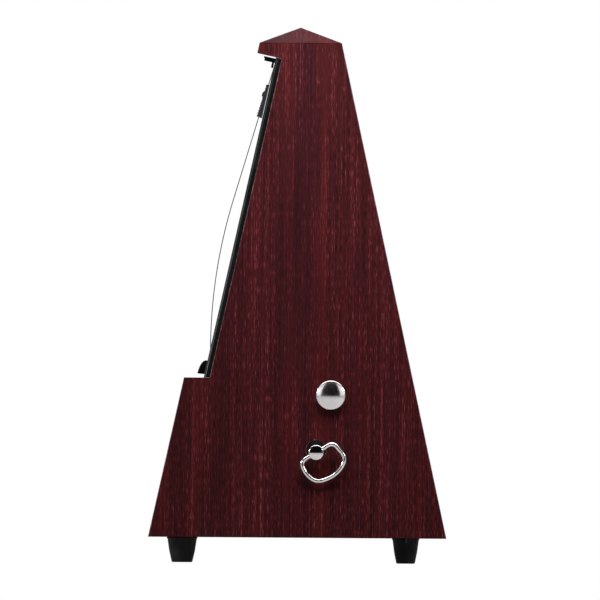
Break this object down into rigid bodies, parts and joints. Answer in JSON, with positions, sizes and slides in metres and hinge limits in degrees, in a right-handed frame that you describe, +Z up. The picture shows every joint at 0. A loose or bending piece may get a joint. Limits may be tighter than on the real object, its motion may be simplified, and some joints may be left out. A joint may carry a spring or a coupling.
{
  "type": "wind-up metronome",
  "caption": "Pyramid metronome with its front cover off: wood case on feet, inclined black panel with pendulum and sliding weight, winding key and bell knob on the side.",
  "frame": {"origin": "on the table, under the middle of the object", "axes": "+Z up, -Y the cover opening with the pendulum, +X the side with the winding key and the bell knob"},
  "size_m": [0.1182, 0.121, 0.217],
  "materials": {
    "case_wood": "satin mahogany grain",
    "black_board": "matt",
    "black_panel": "glossy",
    "black_fittings": "glossy",
    "scale": "satin",
    "rod_steel": "satin spring steel",
    "weight_metal": "dark satin",
    "plate_steel": "zinc plated",
    "steel": "bright",
    "blue_steel": "tempered",
    "brass": "machined",
    "chrome": "polished",
    "rubber_feet": "matt"
  },
  "bodies": {
    "case": {"housing": "case_wood", "base_plate": "black_board", "front_feet": "rubber_feet", "rear_foot": "rubber_feet", "foot_screws": "steel", "base_screws": "steel", "front_panel": "black_panel", "scale_plate": "scale", "cover_hooks": "black_fittings", "cover_latch": "black_fittings", "left_plate": "plate_steel", "right_plate": "plate_steel", "pillars": "steel", "pillar_screws": "steel", "frame_screws": "steel", "front_bridge": "brass", "rear_cock": "brass", "click_stud": "steel", "click_spring": "blue_steel", "bell": "chrome", "bell_post": "steel", "bell_nut": "steel", "hammer_spring": "blue_steel"},
    "pendulum": {"pendulum_rod": "rod_steel", "pendulum_hub": "brass", "pendulum_arbor": "steel", "pallets": "steel", "counterweight_arm": "steel", "counterweight": "plate_steel"},
    "sliding_weight": {"tempo_weight": "weight_metal", "weight_spring": "blue_steel"},
    "mainspring_barrel": {"great_wheel": "brass", "barrel": "brass", "barrel_cover": "brass", "mainspring": "blue_steel"},
    "winding": {"winding_arbor": "steel", "ratchet_wheel": "steel", "key_stem": "chrome"},
    "ring": {"key_ring": "chrome"},
    "winding_click": {"click": "steel"},
    "second": {"second_arbor": "steel", "second_wheel": "brass"},
    "escape": {"escape_arbor": "steel", "escape_wheel": "brass"},
    "selector": {"selector_rod": "steel", "bell_knob": "chrome"},
    "drum": {"bell_drum": "brass"},
    "striker": {"hammer_arbor": "steel", "hammer": "brass", "hammer_tail": "steel"}
  },
  "joints": [
    {"name": "pendulum_swing", "type": "hinge", "parent": "case", "child": "pendulum", "pos_m": [0, -0.03721, 0.06904], "axis": [0, 0.977, -0.2133], "range_deg": [-28, 28], "deforming": ["pendulum_rod"]},
    {"name": "weight_travel", "type": "hinge", "parent": "pendulum", "child": "sliding_weight", "pos_m": [0, 0.67671, -0.03741], "axis": [1, 0, 0], "range_deg": [-0.3, 5.2]},
    {"name": "train_turn", "type": "hinge", "parent": "case", "child": "mainspring_barrel", "pos_m": [0, 0.0074, 0.0448], "axis": [1, 0, 0], "continuous": true},
    {"name": "second_turn", "type": "hinge", "parent": "case", "child": "second", "pos_m": [0, -0.01452, 0.03502], "axis": [1, 0, 0], "continuous": true},
    {"name": "escape_turn", "type": "hinge", "parent": "case", "child": "escape", "pos_m": [0, -0.01756, 0.05124], "axis": [1, 0, 0], "continuous": true},
    {"name": "bell_selector_pull", "type": "slide", "parent": "case", "child": "selector", "axis": [1, 0, 0], "range_m": [0, 0.008]},
    {"name": "drum_turn", "type": "hinge", "parent": "selector", "child": "drum", "pos_m": [0, 0.01321, 0.06809], "axis": [1, 0, 0], "continuous": true},
    {"name": "winding_turn", "type": "hinge", "parent": "case", "child": "winding", "pos_m": [0, 0.0074, 0.0448], "axis": [1, 0, 0], "continuous": true},
    {"name": "key_ring_fold", "type": "hinge", "parent": "winding", "child": "ring", "pos_m": [0.05648, 0.0074, 0.0448], "axis": [0, -0.8572, -0.515], "range_deg": [0, 180]},
    {"name": "click_lift", "type": "hinge", "parent": "case", "child": "winding_click", "pos_m": [0, 0.02158, 0.04781], "axis": [1, 0, 0], "range_deg": [-12, 0], "stiffness_Nm_per_rad": 0.002},
    {"name": "hammer_strike", "type": "hinge", "parent": "case", "child": "striker", "pos_m": [0, 0.02701, 0.06409], "axis": [1, 0, 0], "range_deg": [0, 15], "stiffness_Nm_per_rad": 0.004}
  ],
  "couplings": [
    {"joint": "second_turn", "follows": "train_turn", "ratio": -6},
    {"joint": "escape_turn", "follows": "train_turn", "ratio": 30},
    {"joint": "drum_turn", "follows": "train_turn", "ratio": -6}
  ]
}
